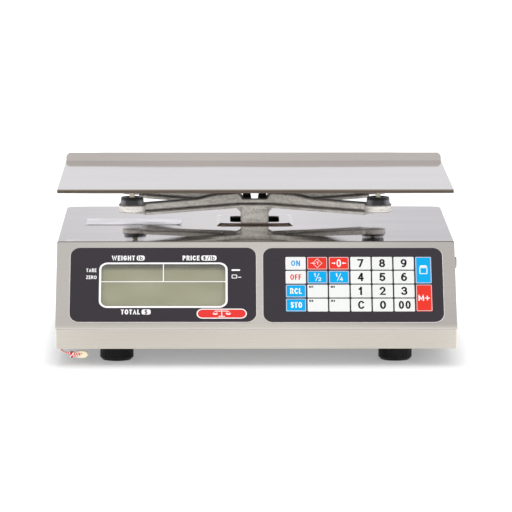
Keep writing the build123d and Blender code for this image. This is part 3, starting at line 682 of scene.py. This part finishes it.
# ---- finishes for the CAD nodes
STEEL = srgb(213, 209, 203)
tray_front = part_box("weighing_tray")[0].y
finishes = {
    "stainless": brushed(
        "brushed_steel", STEEL, 0.3, 0.045, 3e-6, crown=cover_crown, polish=0.045, wear_and_shade=cover_painted_light
    ),
    "tray_stainless": brushed(
        "tray_steel", srgb(204, 201, 197), 0.24, 0.03, 2e-6, crown=tray_crown, polish=0.06, lip=tray_front
    ),
    "pan_steel": brushed("pan_steel", srgb(176, 175, 172), 0.38, 0.1, 6e-6, along=60.0, across=500.0),
    "fastener_steel": turned("fastener_steel", srgb(190, 188, 184), 0.32),
    "black_screw": turned("black_oxide", srgb(30, 29, 30), 0.42, 0.6),
    "load_cell_aluminium": turned("milled_aluminium", srgb(196, 197, 199), 0.3),
    "cast_alloy": cast("cast_alloy", srgb(240, 235, 228), 0.55),
    "cushion_rubber": moulded(
        "cushion_rubber", srgb(62, 62, 66), 0.36, 0.25, 8e-5, 700.0, tone=cushion_painted_light
    ),
    "peg_nylon": moulded("peg_nylon", srgb(226, 218, 198), 0.4, 0.06),
    "panel_film": film("panel_film", srgb(39, 34, 41)),
    "clear_window": clear("clear_window"),
    "lcd_glass": glass_panel("lcd_glass", srgb(154, 152, 121)),
    "circuit_board": board("circuit_board"),
    "membrane_film": moulded("membrane_film", srgb(70, 66, 70), 0.4, 0.1),
    "battery_case": moulded("battery_case", srgb(42, 44, 48), 0.45, 0.12, 3e-5, 900.0, 0.5),
    "socket_plastic": moulded("socket_plastic", srgb(168, 164, 152), 0.42, 0.1, 2e-5, 1500.0, 0.4),
    "ribbon_cable": ribbon("ribbon_cable", srgb(170, 172, 176)),
    "cable_jacket": moulded("cable_jacket", srgb(60, 60, 62), 0.5, 0.1),
    "seal_strand": moulded("seal_strand_red", srgb(216, 34, 36), 0.35, 0.12),
    "seal_body": moulded("seal_body", srgb(236, 226, 196), 0.38, 0.1, 3e-5, 700.0),
    "foot_plastic": moulded(
        "foot_plastic", srgb(9, 9, 11), 0.5, 0.15, 3e-5, 1200.0, 0.2, Specular_IOR_Level=0.3
    ),
    "key_white": printed("key_white", srgb(219, 221, 219)),
    "key_blue": printed("key_blue", srgb(0, 158, 216)),
    "key_red": printed("key_red", srgb(214, 50, 38)),
}
ink = {
    "white": printed("ink_white", srgb(238, 238, 238)),
    "dark": printed("ink_dark", srgb(30, 27, 31)),
    "blue": printed("ink_blue", srgb(16, 146, 208)),
    "red": printed("ink_red", srgb(212, 54, 50)),
    "pale": printed("ink_pale", srgb(196, 188, 190)),
}
for part in frame["record"]["subparts"]:
    node = frame["nodes"][part["node"]]
    finish = finishes[part["material_slot"]]
    if not node.material_slots:
        node.data.materials.append(finish)
    for holder in node.material_slots:
        holder.material = finish


# ---- the seal's wire and tag
SEAL_ROUTE = [
    (-0.1800, -0.15107, 0.0132),
    (-0.1800, -0.16307, 0.0124),
    (-0.1765, -0.17307, 0.0103),
    (-0.1690, -0.17757, 0.0093),
    (-0.1640, -0.17857, 0.0093),
]
WIRE = 0.0020  # across the twisted pair


def smooth_line(points):
    """The points of a smooth open line that has these control points."""
    curve = bpy.data.curves.new("line", "CURVE")
    curve.dimensions = "3D"
    curve.resolution_u = 12
    spline = curve.splines.new("NURBS")
    spline.points.add(len(points) - 1)
    for point, place in zip(spline.points, points):
        point.co = (*place, 1)
    spline.order_u = 3
    spline.use_endpoint_u = True
    return [v.co.copy() for v in as_mesh(curve).vertices]


def frames_along(line):
    """A spot, and two directions square to the line, at each of its points."""
    side = Vector((0, 0, 1))
    for i, spot in enumerate(line):
        ahead = (line[min(i + 1, len(line) - 1)] - line[max(i - 1, 0)]).normalized()
        side = (side - ahead * side.dot(ahead)).normalized()
        yield spot, side, ahead.cross(side)


STRAND_SIDES = 8


def strand(line, radius, away, turns, start):
    """A closed tube that winds round a line at a distance."""
    made = bmesh.new()
    rings = []
    winding = []
    for i, (spot, a, b) in enumerate(frames_along(line)):
        angle = start + 2 * math.pi * turns * i / (len(line) - 1)
        winding.append(spot + (a * math.cos(angle) + b * math.sin(angle)) * away)
    for spot, a, b in frames_along(winding):
        ring = []
        for side in range(STRAND_SIDES):
            angle = 2 * math.pi * side / STRAND_SIDES
            ring.append(made.verts.new(spot + (a * math.cos(angle) + b * math.sin(angle)) * radius))
        rings.append(ring)
    stitch(made, rings)
    made.faces.new(rings[0])
    made.faces.new(rings[-1])
    return as_data(made, smooth=True)


def twisted(line, radius, away, turns):
    """A red and a white strand wound round one line."""
    return [
        (strand(line, radius, away, turns, 0.0), here, 0),
        (strand(line, radius, away, turns, math.pi), here, 1),
    ]


def denser(line, steps):
    """The same line with more points on each of its short runs."""
    points = []
    for one, two in zip(line, line[1:]):
        points += [one.lerp(two, step / steps) for step in range(steps)]
    return points + [line[-1]]


strand_white = moulded("seal_strand_white", srgb(250, 244, 236), 0.35, 0.06)
strands = [finishes["seal_strand"], strand_white]
here = Matrix.Identity(4)
route = smooth_line(SEAL_ROUTE)
pair = twisted(denser(route, 4), WIRE * 0.27, WIRE * 0.23, 13)
seal_wire = piece("seal_wire_twisted", pair, "base", strands)
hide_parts("seal_wire")

# A loose knot of the same wire just before the tag, and its two tails across the tag's face.
KNOT_STEPS = 59
KNOT_LOOPS = 2.6
knot_middle = Vector(SEAL_ROUTE[3])
knot_line = []
for step in range(KNOT_STEPS + 1):
    angle = 2 * math.pi * KNOT_LOOPS * step / KNOT_STEPS
    reach = 0.0025 + 0.0006 * math.sin(3 * angle)
    along = -0.0022 + 0.0044 * step / KNOT_STEPS
    offset = Vector((along, reach * math.cos(angle), reach * 0.9 * math.sin(angle)))
    knot_line.append(knot_middle + offset)
tag_low, tag_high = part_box("seal_tag")
tag_middle = (tag_low + tag_high) / 2
tail_front = tag_low.y - 0.0004
tails = []
for rise, far in ((0.0006, 0.55), (-0.0009, 0.35)):
    reach = tag_low.x + (tag_high.x - tag_low.x) * far
    tails.append(
        [
            knot_middle + Vector((0.001, -0.0015, rise)),
            Vector((tag_low.x, tail_front, tag_middle.z + rise * 2)),
            Vector(((tag_low.x + reach) / 2, tail_front, tag_middle.z + rise * 0.5)),
            Vector((reach, tail_front, tag_middle.z + rise)),
        ]
    )
tangle = twisted(knot_line, 0.00055, 0.0004, 9)
for tail in tails:
    tangle += twisted(denser(smooth_line(tail), 3), 0.0005, 0.00035, 4)
seal_knot = piece("seal_knot", tangle, "base", strands)


def oval_tag():
    """The crimped tag: a domed oval with a raised rim and a plain pressed field on each face."""
    made = bmesh.new()
    wide, tall = (tag_high.x - tag_low.x) / 2, (tag_high.z - tag_low.z) / 2
    deep = (tag_high.y - tag_low.y) / 2
    profile = [(0.55, -0.72), (0.68, -0.78), (0.76, -0.98), (0.86, -1.0), (0.96, -0.8), (1.0, -0.4)]
    profile += [(0.985, 0.0)] + [(size, -depth) for size, depth in reversed(profile)]
    around = 40
    rings = []
    for size, depth in profile:
        ring = []
        for step in range(around):
            angle = 2 * math.pi * step / around
            spot = (wide * size * math.cos(angle), deep * depth, tall * size * math.sin(angle))
            ring.append(made.verts.new(tag_middle + Vector(spot)))
        rings.append(ring)
    stitch(made, rings)
    for ring, depth in ((rings[0], -0.72), (rings[-1], 0.72)):
        hub = made.verts.new(tag_middle + Vector((0, deep * depth, 0)))
        for step in range(around):
            made.faces.new((ring[step], ring[(step + 1) % around], hub))
    return as_data(made, smooth=True)


seal_tag = piece("seal_tag_oval", [(oval_tag(), here, 0)], "base", [finishes["seal_body"]])
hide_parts("seal_tag")


# ---- printing round the displays
CLEARANCE = 0.005  # under each printed layer, mm


def flat(panel, mesh, x, down, lift, index=0):
    """A part for piece(): a drawing laid on a panel."""
    return (mesh, panel.matrix(x, down, lift + INK / 2 + CLEARANCE), index)


def written(panel, text, x0, x1, top, bottom, weight, lift):
    """Words laid on a panel, filling a box."""
    mesh = lettering(text, x1 - x0, bottom - top, weight)
    return flat(panel, mesh, (x0 + x1) / 2, (top + bottom) / 2, lift)


def ring(left, right, top, bottom, radius, width):
    """A frame of even width drawn round a rounded opening."""
    outer = rounded(left - width, right + width, -top + width, -bottom - width, radius + width)
    return drawn(outer, rounded(left, right, -top, -bottom, radius))


def bar(x0, x1, top, bottom, radius=0.0):
    """A filled rectangle, rounded where it has a radius."""
    return drawn(rounded(x0, x1, -top, -bottom, max(radius, 0.01), 6 if radius else 1))


LINE = 0.42  # half the width of the lines across the window, mm
DIVIDE = 0.417  # how far down the window its lower row begins
LARGE, SMALL = 1.1, 0.68  # strokes of the headings and of the two words beside the window, mm


def display_print(panel, overlay, lens, name, words):
    """The window's frame and dividing lines, and the headings with their unit pills. Each word has its
    left, right, top and bottom, and its pill's right end if it has one."""
    left, right, top, bottom = panel.extent(lens)
    film_face = panel.height_of(overlay)
    lens_face = panel.height_of(lens)
    divide = top + (bottom - top) * DIVIDE
    middle = (left + right) / 2
    white = [
        flat(panel, ring(left, right, top, bottom, 6.0, 1.9), 0, 0, film_face),
        flat(panel, bar(left, right, divide - LINE, divide + LINE), 0, 0, lens_face),
        flat(panel, bar(middle - LINE, middle + LINE, top, divide - LINE), 0, 0, lens_face),
    ]
    for text, x0, x1, v0, v1, pill_end in words:
        height = v1 - v0
        white.append(written(panel, text, x0, x1, v0, v1, LARGE if height > 5 else SMALL, film_face))
        if pill_end:
            pill = bar(x1 + 1.6, pill_end, v0 - 0.1, v1 + 0.1, height * 0.36)
            white.append(flat(panel, pill, 0, 0, film_face))
    piece(name, white, "base", [ink["white"]])


heads = [
    ("WEIGHT", -133.0, -111.6, 16.9, 22.4, -102.7),
    ("PRICE", -67.7, -52.0, 16.9, 22.4, -36.4),
    ("TOTAL", -124.0, -106.6, 77.3, 82.8, -96.7),
    ("TARE", -156.4, -147.0, 31.4, 35.4, None),
    ("ZERO", -156.4, -146.7, 39.3, 43.2, None),
]
display_print(front, "display_overlay", "display_lens", "display_print", heads)
film_face = front.height_of("display_overlay")
units = [
    written(front, "lb", -108.6, -104.2, 17.6, 21.8, 0.7, film_face + INK),
    written(front, "$/lb", -49.0, -37.9, 17.4, 21.9, 0.7, film_face + INK),
    written(front, "$", -102.4, -99.6, 77.4, 82.7, 0.7, film_face + INK),
]
piece("display_units", units, "base", [ink["dark"]])
rear_heads = [
    ("WEIGHT", -50.0, -28.6, 7.6, 13.1, None),
    ("PRICE", 22.0, 38.0, 7.6, 13.1, None),
    ("TOTAL", -9.0, 8.6, 63.2, 68.6, None),
]
display_print(rear, "customer_overlay", "customer_lens", "customer_print", rear_heads)


# ---- badge and side marks
def badge():
    """A plain red lozenge in a white outline, with a simple balance drawn on it."""
    left, right, top, bottom = -54.6, -8.6, 76.5, 87.5
    rim = 1.0
    outline = bar(left, right, top, bottom, 5.4)
    field = bar(left + rim, right - rim, top + rim, bottom - rim, 5.4 - rim)
    middle, centre = (left + right) / 2, (top + bottom) / 2
    arm = 6.0
    marks = [
        bar(middle - arm, middle + arm, centre - 3.2, centre - 2.5),
        bar(middle - 0.4, middle + 0.4, centre - 3.9, centre + 3.2),
        bar(middle - 3.0, middle + 3.0, centre + 2.7, centre + 3.5, 0.3),
    ]
    for x in (middle - arm, middle + arm):
        rise, base = -centre + 0.1, -centre - 1.2
        marks.append(drawn([(x - 2.6, rise), (x + 2.6, rise), (x + 1.3, base), (x - 1.3, base)]))
        for foot in (x - 2.3, x + 2.3):
            head = -centre + 2.9
            cord = [(x - 0.2, head), (x + 0.2, head), (foot + 0.2, -centre), (foot - 0.2, -centre)]
            marks.append(drawn(cord))
    parts = [flat(front, outline, 0, 0, film_face, 0), flat(front, field, 0, 0, film_face + INK, 1)]
    parts += [flat(front, mark, 0, 0, film_face + 2 * INK, 0) for mark in marks]
    piece("badge", parts, "base", [ink["white"], ink["red"]])


badge()
# Two small plain pointers to the right of the front window.
pointers = [
    bar(-22.6, -14.6, 32.4, 34.2, 0.8),
    drawn(rounded(-22.4, -17.4, -38.4, -42.6, 0.7), rounded(-21.7, -18.1, -39.1, -41.9, 0.3)),
    bar(-16.4, -13.6, 41.0, 41.8, 0.3),
]
pointers = [flat(front, mark, 0, 0, film_face) for mark in pointers]
piece("side_marks", pointers, "base", [ink["white"]])


# ---- key legends
def diamond(width, height, line):
    """A diamond's outline, given its half width and half height."""
    outer = [(-width, 0), (0, height), (width, 0), (0, -height)]
    inner = [(x * (1 - line / width * 1.5), y * (1 - line / height * 1.5)) for x, y in outer]
    return drawn(outer, inner)


def arrow(x0, x1, head, line):
    """A bar from x0 to x1 with its head at x1."""
    way = 1 if x1 > x0 else -1
    neck = x1 - way * head
    wing = head * 0.8
    upper = [(x0, line), (neck, line), (neck, wing)]
    return drawn(upper + [(x1, 0)] + [(x, -y) for x, y in reversed(upper)])


legends = {"key_" + digit: [(lettering(digit, 5.6, 9.2, 1.75), "dark")] for digit in "023456789"}
for key, text, wide, tall, weight, colour, shift in (
    ("1", "1", 3.5, 9.2, 1.75, "dark", -0.5),
    ("clear", "C", 6.0, 9.2, 1.65, "dark", 0.0),
    ("00", "00", 11.0, 9.0, 1.65, "dark", 0.0),
    ("on", "ON", 8.3, 6.2, 1.1, "blue", 0.0),
    ("off", "OFF", 10.2, 6.2, 1.1, "red", 0.0),
    ("recall", "RCL", 10.6, 6.4, 1.1, "white", 0.0),
    ("store", "STO", 10.4, 6.4, 1.1, "white", 0.3),
    ("add", "M+", 10.4, 6.6, 1.0, "white", 0.0),
):
    legends["key_" + key] = [(lettering(text, wide, tall, weight, (shift, 0.0)), colour)]
for key, lower in (("key_half", "2"), ("key_quarter", "4")):
    legends[key] = [
        (lettering("1", 1.7, 4.2, 0.7, (-2.4, 2.3)), "white"),
        (lettering("/", 3.6, 8.4, 0.55), "white"),
        (lettering(lower, 2.8, 4.2, 0.62, (2.1, -2.3)), "white"),
    ]
legends["key_tare"] = [
    (diamond(4.7, 5.2, 0.34), "white"),
    (lettering("T", 2.3, 3.2, 0.55, (0.4, 0.0)), "white"),
    (arrow(-6.2, -1.4, 1.0, 0.22), "white"),
]
legends["key_zero"] = [
    (lettering("0", 4.1, 8.4, 1.1), "white"),
    (arrow(-6.6, -2.8, 1.6, 0.42), "white"),
    (arrow(6.6, 2.8, 1.6, 0.42), "white"),
]
legends["key_pack"] = [
    (drawn(rounded(-3.6, 3.6, 3.0, -4.4, 0.6), rounded(-2.9, 2.9, 2.3, -3.7, 0.2)), "white"),
    (drawn([(-3.6, 3.4), (3.6, 3.4), (2.4, 5.2), (-2.4, 5.2)]), "white"),
]
for number in "1234":
    legends["key_memory_" + number] = [(lettering("M" + number, 3.8, 2.3, 0.7, (-5.9, 4.6)), "dark")]
RIMMED = {"key_" + name for name in ("half", "quarter", "recall", "store", "pack", "tare", "zero", "add")}
for key, shapes in legends.items():
    left, right, top, bottom = front.extent(key)
    face = front.height_of(key)
    middle, centre = (left + right) / 2, (top + bottom) / 2
    parts = [flat(front, mesh, middle, centre, face, 0) for mesh, colour in shapes]
    inks = [ink[shapes[0][1]]]
    if key in RIMMED:
        rim = drawn(
            rounded(left + 0.25, right - 0.25, -top - 0.25, -bottom + 0.25, 0.9),
            rounded(left + 0.85, right - 0.85, -top - 0.85, -bottom + 0.85, 0.5),
        )
        parts.append(flat(front, rim, 0, 0, face, 1))
        inks.append(ink["pale"])
    piece("legend_" + key, parts, key, inks)


# ---- adhesive label on the top
CURL = 0.07  # the share of the label's length that lifts


def label():
    """A thin blank label lying on the housing's top, its right-hand edge lifting a little."""
    left, right, near, far = -0.1615, -0.0700, edge.y + 0.133, edge.y + 0.193
    wide, deep = 36, 14
    made = bmesh.new()
    grid = []
    for i in range(wide + 1):
        row = []
        for j in range(deep + 1):
            along, back = i / wide, j / deep
            lift = max(0.0, along - (1 - CURL)) / CURL
            height = 0.00005 + 0.0011 * lift * lift * (0.35 + 0.65 * (1 - back))
            height += 0.00004 * (1 + noise.noise(Vector((along * 9, back * 4, 3.0))))
            spot = (left + (right - left) * along, near + (far - near) * back, edge.z + height)
            row.append(made.verts.new(spot))
        grid.append(row)
    for i in range(wide):
        for j in range(deep):
            made.faces.new((grid[i][j], grid[i + 1][j], grid[i + 1][j + 1], grid[i][j + 1]))
    mesh = as_data(made, smooth=True, closed=False)
    sheet = piece("adhesive_label", [(mesh, here, 0)], "base", [foil("label_foil")])
    thick = sheet.modifiers.new("thickness", "SOLIDIFY")
    thick.thickness = 0.00005
    thick.offset = 1.0


label()


# ---- light adhesive margin round the films
MARGIN_WIDTH, MARGIN_THICKNESS = 0.55, 0.35  # mm
margin_film = moulded("margin_film", srgb(236, 230, 226), 0.3, 0.04)


def margin(name, panel, overlay):
    """The clear carrier that shows as a pale line round each film."""
    shape = ring(*panel.extent(overlay), 9.0, MARGIN_WIDTH)
    for v in shape.vertices:
        v.co.z *= MARGIN_THICKNESS / INK
    piece(name, [(shape, panel.matrix(0, 0, 0.18), 0)], "base", [margin_film])


margin("display_margin", front, "display_overlay")
margin("keypad_margin", front, "keypad_overlay")
margin("customer_margin", rear, "customer_overlay")


# ---- floor, light and surroundings
FLOOR_REACH = 40.0
TABLE_END, TABLE_GONE = -0.75, -1.25  # where the reflected floor begins to darken, and where it is dark


def floor():
    """A wide pale floor that glows a little, more so behind and beside the part. Seen in the steel it
    darkens far in front, as a table's end would."""
    mesh = bpy.data.meshes.new("floor")
    corners = [(x * FLOOR_REACH, y * FLOOR_REACH, 0) for x, y in ((-1, -1), (1, -1), (1, 1), (-1, 1))]
    mesh.from_pydata(corners, [], [(0, 1, 2, 3)])
    ground = bpy.data.objects.new("floor", mesh)
    scene.collection.objects.link(ground)
    s = Shader("floor_paper", Roughness=0.9, Specular_IOR_Level=0.0)
    spot = s.spot()
    dim = s.times(s.span(spot["Y"], TABLE_END, TABLE_GONE), s.node("LightPath").outputs["Is Glossy Ray"])
    fibre = s.noise(220.0, 3.0)
    paper = s.ramp(fibre, (0.3, (0.73, 0.74, 0.75, 1)), (0.7, (0.76, 0.77, 0.78, 1)))
    s.set("Base Color", s.mix(dim, paper, (0.10, 0.085, 0.07, 1)))
    s.set("Emission Color", s.mix(dim, grey(1.0), (0.1, 0.08, 0.06, 1)))
    # painted light: more glow beside the part washes out its shadow there
    beside = s.span(s.math("ABSOLUTE", spot["X"]), 0.187, 0.212, 0.0, 0.34)
    s.set("Emission Strength", s.math("ADD", s.span(spot["Y"], 0.6, 1.8, 0.235, 0.40), beside))
    mesh.materials.append(s.material)


def surroundings():
    """Even studio white, warmer overhead. The steel reflects a dark room low in front."""
    world = bpy.data.worlds.new("studio")
    scene.world = world
    world.use_nodes = True
    s = Nodes(world.node_tree)
    way = s.node("SeparateXYZ", {0: s.node("TexCoord").outputs["Generated"]}).outputs
    sky = s.mix(s.span(way["Z"], 0.25, 0.9), (0.86, 0.85, 0.88, 1), (0.88, 0.875, 0.865, 1))
    low = s.span(s.math("ABSOLUTE", way["Z"]), 0.32, 0.12)
    rays = s.node("LightPath").outputs
    dark = s.times(s.times(low, s.span(way["Y"], -0.35, -0.85)), rays["Is Glossy Ray"])
    room = s.mix(dark, sky, (0.17, 0.14, 0.115, 1))
    back = s.tree.nodes["Background"].inputs
    s.put(back["Color"], s.mix(rays["Is Camera Ray"], room, grey(1.0)))
    back["Strength"].default_value = 1.0


def soft_light(name, place, target, size, power, colour):
    """A soft rectangular lamp that shows in no reflection."""
    data = bpy.data.lights.new(name, "AREA")
    data.shape = "RECTANGLE"
    data.size, data.size_y = size
    data.energy = power
    data.color = colour
    lamp = bpy.data.objects.new(name, data)
    lamp.location = place
    lamp.rotation_euler = (Vector(target) - Vector(place)).to_track_quat("-Z", "Y").to_euler()
    lamp.visible_glossy = False
    scene.collection.objects.link(lamp)


floor()
surroundings()
soft_light("key_light", (-0.25, 1.3, 2.6), (0, 0, 0.05), (2.2, 2.2), 22, (1.0, 0.995, 0.99))
soft_light("fill_light", (1.8, -0.6, 2.0), (0, 0, 0.05), (2.0, 2.0), 8, (1.0, 0.995, 0.99))
soft_light("front_light", (-0.2, -2.6, 0.42), (0, 0, 0.12), (1.6, 0.5), 24, (1.0, 0.99, 0.975))
